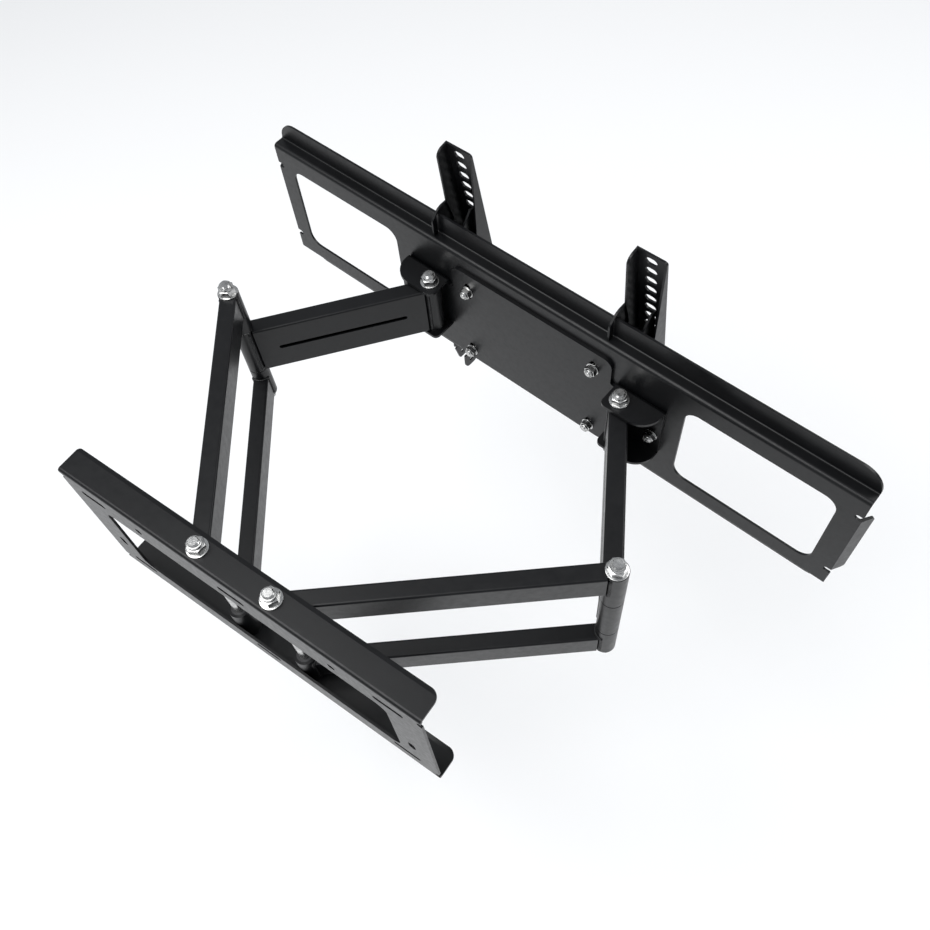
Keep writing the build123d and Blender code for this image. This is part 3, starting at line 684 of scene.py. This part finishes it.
def solids(node: str) -> list[np.ndarray]:
    """Split a CAD node's points into its separate solids.

    Points in one place count as one. Every point starts with its own label, and each triangle
    hands its lowest label to its corners until nothing changes.

    Args:
        node: the CAD node's name.

    Returns:
        One array of points per solid, shape (points, 3).
    """
    data = frame["nodes"][node].data
    points = np.empty(len(data.vertices) * 3)
    data.vertices.foreach_get("co", points)
    points = points.reshape(-1, 3)
    _, same = np.unique(np.round(points, 5), axis=0, return_inverse=True)
    same = same.ravel()
    corners = np.empty(len(data.loops), np.int64)
    data.loops.foreach_get("vertex_index", corners)
    triangles = same[corners.reshape(-1, 3)]
    label = np.arange(same.max() + 1)
    settled = False
    while not settled:
        new = label.copy()
        np.minimum.at(new, triangles.ravel(), np.repeat(label[triangles].min(1), 3))
        new = new[new]
        settled = np.array_equal(new, label)
        label = new
    groups = label[same]
    return [points[groups == group] for group in np.unique(groups)]


def stances(node: str, along: np.ndarray, first_spin: float = 0.25) -> list[Stance]:
    """The stances of a node's solids, each spun a little further than the one before."""
    parts = enumerate(solids(node))
    return [Stance.of(points, along, first_spin + NEXT_SPIN * number) for number, points in parts]


def head_axis() -> np.ndarray:
    """Unit direction from the left head pivot to the right one."""
    first, second = (stance.post.origin for stance in stances("head_pivot_bolts", UP))
    way = second - first if second[0] > first[0] else first - second
    way = way * [1.0, 1.0, 0.0]
    return way / np.linalg.norm(way)


@dataclass(frozen=True)
class FastenerSet:
    """A bolt node, a nut node and a washer node that share an axis direction and a size."""

    along: np.ndarray
    size: ThreadSize
    bolts: str = ""
    nuts: str = ""
    washers: str = ""
    nut_size: ThreadSize | None = None
    washer_radius: float = 0.0119
    dome: tuple[float, float] | None = None

    def build(self, finishes: Finishes) -> None:
        """Shape each node of the set and put it in place.

        Args:
            finishes: the mount's finishes.
        """
        if self.bolts:
            makers = Fasteners()
            for stance in stances(self.bolts, self.along):
                if self.dome:
                    makers.carriage_bolt(stance, self.size, *self.dome)
                else:
                    makers.hex_bolt(stance, self.size)
            makers.place(self.bolts, finishes)
        if self.nuts:
            makers = Fasteners()
            for stance in stances(self.nuts, self.along, 0.5):
                makers.lock_nut(stance, self.nut_size or self.size)
            makers.place(self.nuts, finishes)
        if self.washers:
            makers = Fasteners()
            for stance in stances(self.washers, self.along):
                makers.washer(stance, self.washer_radius, self.size.radius)
            makers.place(self.washers, finishes)


# ------------------------------------------------------------------ sub-assemblies
@dataclass
class WeldSeam:
    """A fillet weld of overlapping ripples where a bar meets its upright knuckle."""

    knuckle_radius: float = 0.0125
    bead: float = 0.0019
    ripple: float = 0.0022

    def bead_along(self, post: Post, sign: float,
                   corners: Sequence[tuple[float, float]]) -> np.ndarray:
        """A small circle carried along the line where the bar's skin meets the knuckle.

        At sideways distance s the knuckle's skin stands sqrt(radius squared - s squared) from its
        axis. The circle's radius swells and shrinks once per ripple, which gives the stacked
        scales of a weld, and falls to nothing at both ends.

        Args:
            post: the knuckle's axis, with across pointing along the arm.
            sign: +1 where the bar leaves along across, -1 where it arrives.
            corners: (sideways distance, height) points of the line.

        Returns:
            Surface grid with a pole at each end.
        """
        corner = np.array(corners)
        legs = np.concatenate([[0.0], np.cumsum(np.linalg.norm(np.diff(corner, axis=0), axis=1))])
        step = np.linspace(0.0, legs[-1], int(legs[-1] / self.ripple) * 5 + 2)
        side, level = (np.interp(step, legs, corner[:, n]) for n in (0, 1))
        stand = np.sqrt(self.knuckle_radius**2 - side**2)
        third = np.cross(post.along, post.across)
        path = (post.origin * [1.0, 1.0, 0.0] + sign * stand[:, None] * post.across
                + side[:, None] * third + level[:, None] * UP)
        ahead = np.gradient(path, axis=0)
        ahead /= np.linalg.norm(ahead, axis=1)[:, None]
        out = sign * post.across - (ahead @ (sign * post.across))[:, None] * ahead
        out /= np.linalg.norm(out, axis=1)[:, None]
        other = np.cross(ahead, out)
        swell = self.bead * (0.82 + 0.18 * np.abs(np.sin(step / self.ripple * math.pi)))
        swell *= np.sqrt(np.clip(np.minimum(step, legs[-1] - step) / (1.5 * self.bead), 0.0, 1.0))
        angle = round_angles(12)
        cos, sin = np.cos(angle)[None, :, None], np.sin(angle)[None, :, None]
        circle = cos * out[:, None] + sin * other[:, None]
        return path[:, None] + swell[:, None, None] * circle


class Mouth(Enum):
    """Which sides of a bar's end stand clear of its knuckle's ends, and so are welded."""

    UNDER = "under"
    OVER = "over"
    ROUND = "round"
    CHEEKS = "cheeks"

    def lines(self, half: float, low: float, high: float) -> list[list[tuple[float, float]]]:
        """The seam lines as (sideways, height) points."""
        trim = 0.0018
        left_up, right_up = (-half, high - trim), (half, high - trim)
        left_down, right_down = (-half, low + trim), (half, low + trim)
        left_low, right_low = (-half, low), (half, low)
        left_high, right_high = (-half, high), (half, high)
        return {
            Mouth.UNDER: [[left_up, left_low, right_low, right_up]],
            Mouth.OVER: [[left_down, left_high, right_high, right_down]],
            Mouth.ROUND: [[left_high, left_low, right_low, right_high, left_high, left_down]],
            Mouth.CHEEKS: [[left_down, left_up], [right_down, right_up]],
        }[self]


@dataclass
class ArmWelds:
    """The weld seams of one arm, between the pivots at its two ends."""

    name: str
    body: str
    near: np.ndarray
    far: np.ndarray
    bars: Sequence[tuple[float, float, float, Mouth, Mouth]]
    seam: WeldSeam = field(default_factory=WeldSeam)

    def build(self, finishes: Finishes) -> None:
        """Shape the seams as one piece on the arm.

        Args:
            finishes: the mount's finishes.
        """
        heading = (self.far - self.near) * [1.0, 1.0, 0.0]
        heading = heading / np.linalg.norm(heading)
        patches = Patches()
        for half, low, high, near_mouth, far_mouth in self.bars:
            for place, sign, mouth in ((self.near, 1.0, near_mouth), (self.far, -1.0, far_mouth)):
                post = Post(place, UP, heading)
                for line in mouth.lines(half, low, high):
                    patches.grid(self.seam.bead_along(post, sign, line))
        piece = patches.mesh(f"{self.name}_welds", [finishes.coat])
        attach(piece, self.body)
        log.info("%s: %d faces", piece.name, len(piece.data.polygons))


@dataclass
class PlainSteel:
    """The pressed and bent pieces that keep their CAD shapes."""

    coated: tuple[str, ...] = (
        "wall_plate", "left_upper_bar", "left_lower_bar", "left_short_arm", "right_upper_bar",
        "right_lower_bar", "right_short_arm", "arm_adapter", "tv_plate", "left_hook_bracket",
        "left_rail", "right_hook_bracket", "right_rail",
    )
    bushed: tuple[str, ...] = (
        "left_long_arm_bushes", "left_short_arm_bushes",
        "right_long_arm_bushes", "right_short_arm_bushes",
    )

    def dress(self, finishes: Finishes) -> None:
        """Give each piece its finish."""
        finishes.dress(self.coated, Finish.BLACK_STEEL)
        finishes.dress(self.bushed, Finish.BUSH)


@dataclass
class Arms:
    """Both pairs of arms: their pivot hardware and their weld seams."""

    half_bar: float = 0.010
    half_box: float = 0.011
    upper: tuple[float, float] = (0.0665, 0.1045)
    lower: tuple[float, float] = (-0.094, -0.056)
    box: tuple[float, float] = (-0.038, 0.038)

    @staticmethod
    def pivots(bolts: str) -> list[np.ndarray]:
        """The places of a node's bolts, from left to right."""
        return sorted((stance.post.origin for stance in stances(bolts, UP)), key=lambda at: at[0])

    def build(self, finishes: Finishes) -> None:
        """Shape the pivots' fasteners, then the seams between them."""
        for end in ("wall", "head"):
            names = (f"{end}_pivot_{kind}" for kind in ("bolts", "nuts", "washers"))
            FastenerSet(UP, M12, *names).build(finishes)
        walls, heads = self.pivots("wall_pivot_bolts"), self.pivots("head_pivot_bolts")
        for hand, wall, head in zip(("left", "right"), walls, heads):
            names = (f"{hand}_elbow_{kind}" for kind in ("bolt", "nut", "washers"))
            FastenerSet(UP, M12, *names).build(finishes)
            elbow = stances(f"{hand}_elbow_bolt", UP)[0].post.origin
            ArmWelds(f"{hand}_long_arm", f"{hand}_long_arm", wall, elbow, (
                (self.half_bar, *self.upper, Mouth.UNDER, Mouth.UNDER),
                (self.half_bar, *self.lower, Mouth.ROUND, Mouth.OVER),
            )).build(finishes)
            ArmWelds(f"{hand}_short_arm", f"{hand}_short_arm", elbow, head, (
                (self.half_box, *self.box, Mouth.CHEEKS, Mouth.CHEEKS),
            )).build(finishes)


@dataclass
class TvHead:
    """The fasteners of the TV plate and of the two hook brackets."""

    dome: tuple[float, float] = (0.009, 0.0045)
    clamp_washer_radius: float = 0.0085

    def build(self, finishes: Finishes) -> None:
        """Shape the clamp bolts, then each bracket's pivot, lock and guide bolts."""
        across = head_axis()
        forward = np.cross(UP, across)
        FastenerSet(forward, M8, "adapter_bolts", "adapter_nuts", "adapter_washers",
                    washer_radius=self.clamp_washer_radius, dome=self.dome).build(finishes)
        for hand in ("left", "right"):
            for use, size, nut_size in (("tilt", M8, M8_THIN), ("lock", M6, M6), ("guide", M6, M6)):
                FastenerSet(across, size, f"{hand}_{use}_bolt", f"{hand}_{use}_nut",
                            nut_size=nut_size).build(finishes)


# ------------------------------------------------------------------ room and camera
@dataclass(frozen=True)
class SoftLight:
    """A square soft light that hangs at a place and faces a point."""

    name: str
    place: tuple[float, float, float]
    size: float
    watts: float
    aim: tuple[float, float, float] = (0.0, 0.3, 0.0)

    def hang(self) -> None:
        """Put the light in the scene."""
        lamp = bpy.data.lights.new(self.name, "AREA")
        lamp.shape = "SQUARE"
        lamp.size = self.size
        lamp.energy = self.watts
        piece = bpy.data.objects.new(self.name, lamp)
        bpy.context.scene.collection.objects.link(piece)
        piece.location = self.place
        facing = Vector(self.aim) - Vector(self.place)
        piece.rotation_euler = facing.to_track_quat("-Z", "Y").to_euler()


@dataclass
class Studio:
    """A pale floor under soft light, and the camera that looks down on the mount."""

    floor_z: float = -0.62
    floor_half: float = 6.0
    floor_lines: int = 9
    floor_dish: float = 0.001
    eye: tuple[float, float, float] = (0.450667, -0.139488, 0.962586)
    right: tuple[float, float, float] = (0.8159524, 0.57484946, -0.06139847)
    up: tuple[float, float, float] = (-0.47161073, 0.72328906, 0.50441675)
    back: tuple[float, float, float] = (0.33437254, -0.38262388, 0.86127462)
    lens: float = 37.45
    film: float = 36.0
    reach: float = 50.0
    world_colour: Colour = (0.93, 0.96, 1.0)
    world_strength: float = 0.50
    lamps: tuple[SoftLight, ...] = (
        SoftLight("top_light", (-0.9, -0.9, 2.7), 2.4, 82.0),
        SoftLight("side_light", (1.6, 2.0, 2.3), 2.0, 46.0),
    )

    def floor(self) -> None:
        """Lay a faintly domed floor: its height falls by the dish times the squared distance."""
        line = np.linspace(-self.floor_half, self.floor_half, self.floor_lines)
        x, y = np.meshgrid(line, line, indexing="ij")
        points = np.stack([x, y, self.floor_z - self.floor_dish * (x**2 + y**2)], -1)
        squares = np.arange(self.floor_lines - 1)
        i, j = np.meshgrid(squares, squares, indexing="ij")
        here, beyond = i * self.floor_lines + j, (i + 1) * self.floor_lines + j
        quads = np.stack([here, beyond, beyond + 1, here + 1], -1)
        data = bpy.data.meshes.new("floor")
        data.from_pydata(points.reshape(-1, 3).tolist(), [], quads.reshape(-1, 4).tolist())
        data.materials.append(Paper().make())
        piece = bpy.data.objects.new("floor", data)
        bpy.context.scene.collection.objects.link(piece)

    def lights(self) -> None:
        """Hang a large top light and a weaker one from the television side, in a pale room."""
        world = bpy.data.worlds.new("room")
        world.use_nodes = True
        ground = world.node_tree.nodes["Background"]
        ground.inputs["Color"].default_value = (*self.world_colour, 1.0)
        ground.inputs["Strength"].default_value = self.world_strength
        bpy.context.scene.world = world
        for lamp in self.lamps:
            lamp.hang()

    def camera(self) -> None:
        """Stand the camera where its axes and eye say."""
        data = bpy.data.cameras.new("camera")
        data.sensor_width = self.film
        data.lens = self.lens
        data.clip_end = self.reach
        piece = bpy.data.objects.new("camera", data)
        piece.matrix_world = Matrix([
            (r, u, b, e) for r, u, b, e in zip(self.right, self.up, self.back, self.eye)
        ] + [(0.0, 0.0, 0.0, 1.0)])
        bpy.context.scene.collection.objects.link(piece)
        bpy.context.scene.camera = piece

    def build(self) -> None:
        """Build the whole room."""
        self.floor()
        self.lights()
        self.camera()
        bpy.context.scene.view_settings.view_transform = "Standard"


def main() -> None:
    """Build every sub-assembly, the room and the camera."""
    logging.basicConfig(level=logging.INFO, format="%(name)s %(message)s")
    finishes = Finishes()
    PlainSteel().dress(finishes)
    Arms().build(finishes)
    TvHead().build(finishes)
    Studio().build()


if __name__ == "__main__":
    main()
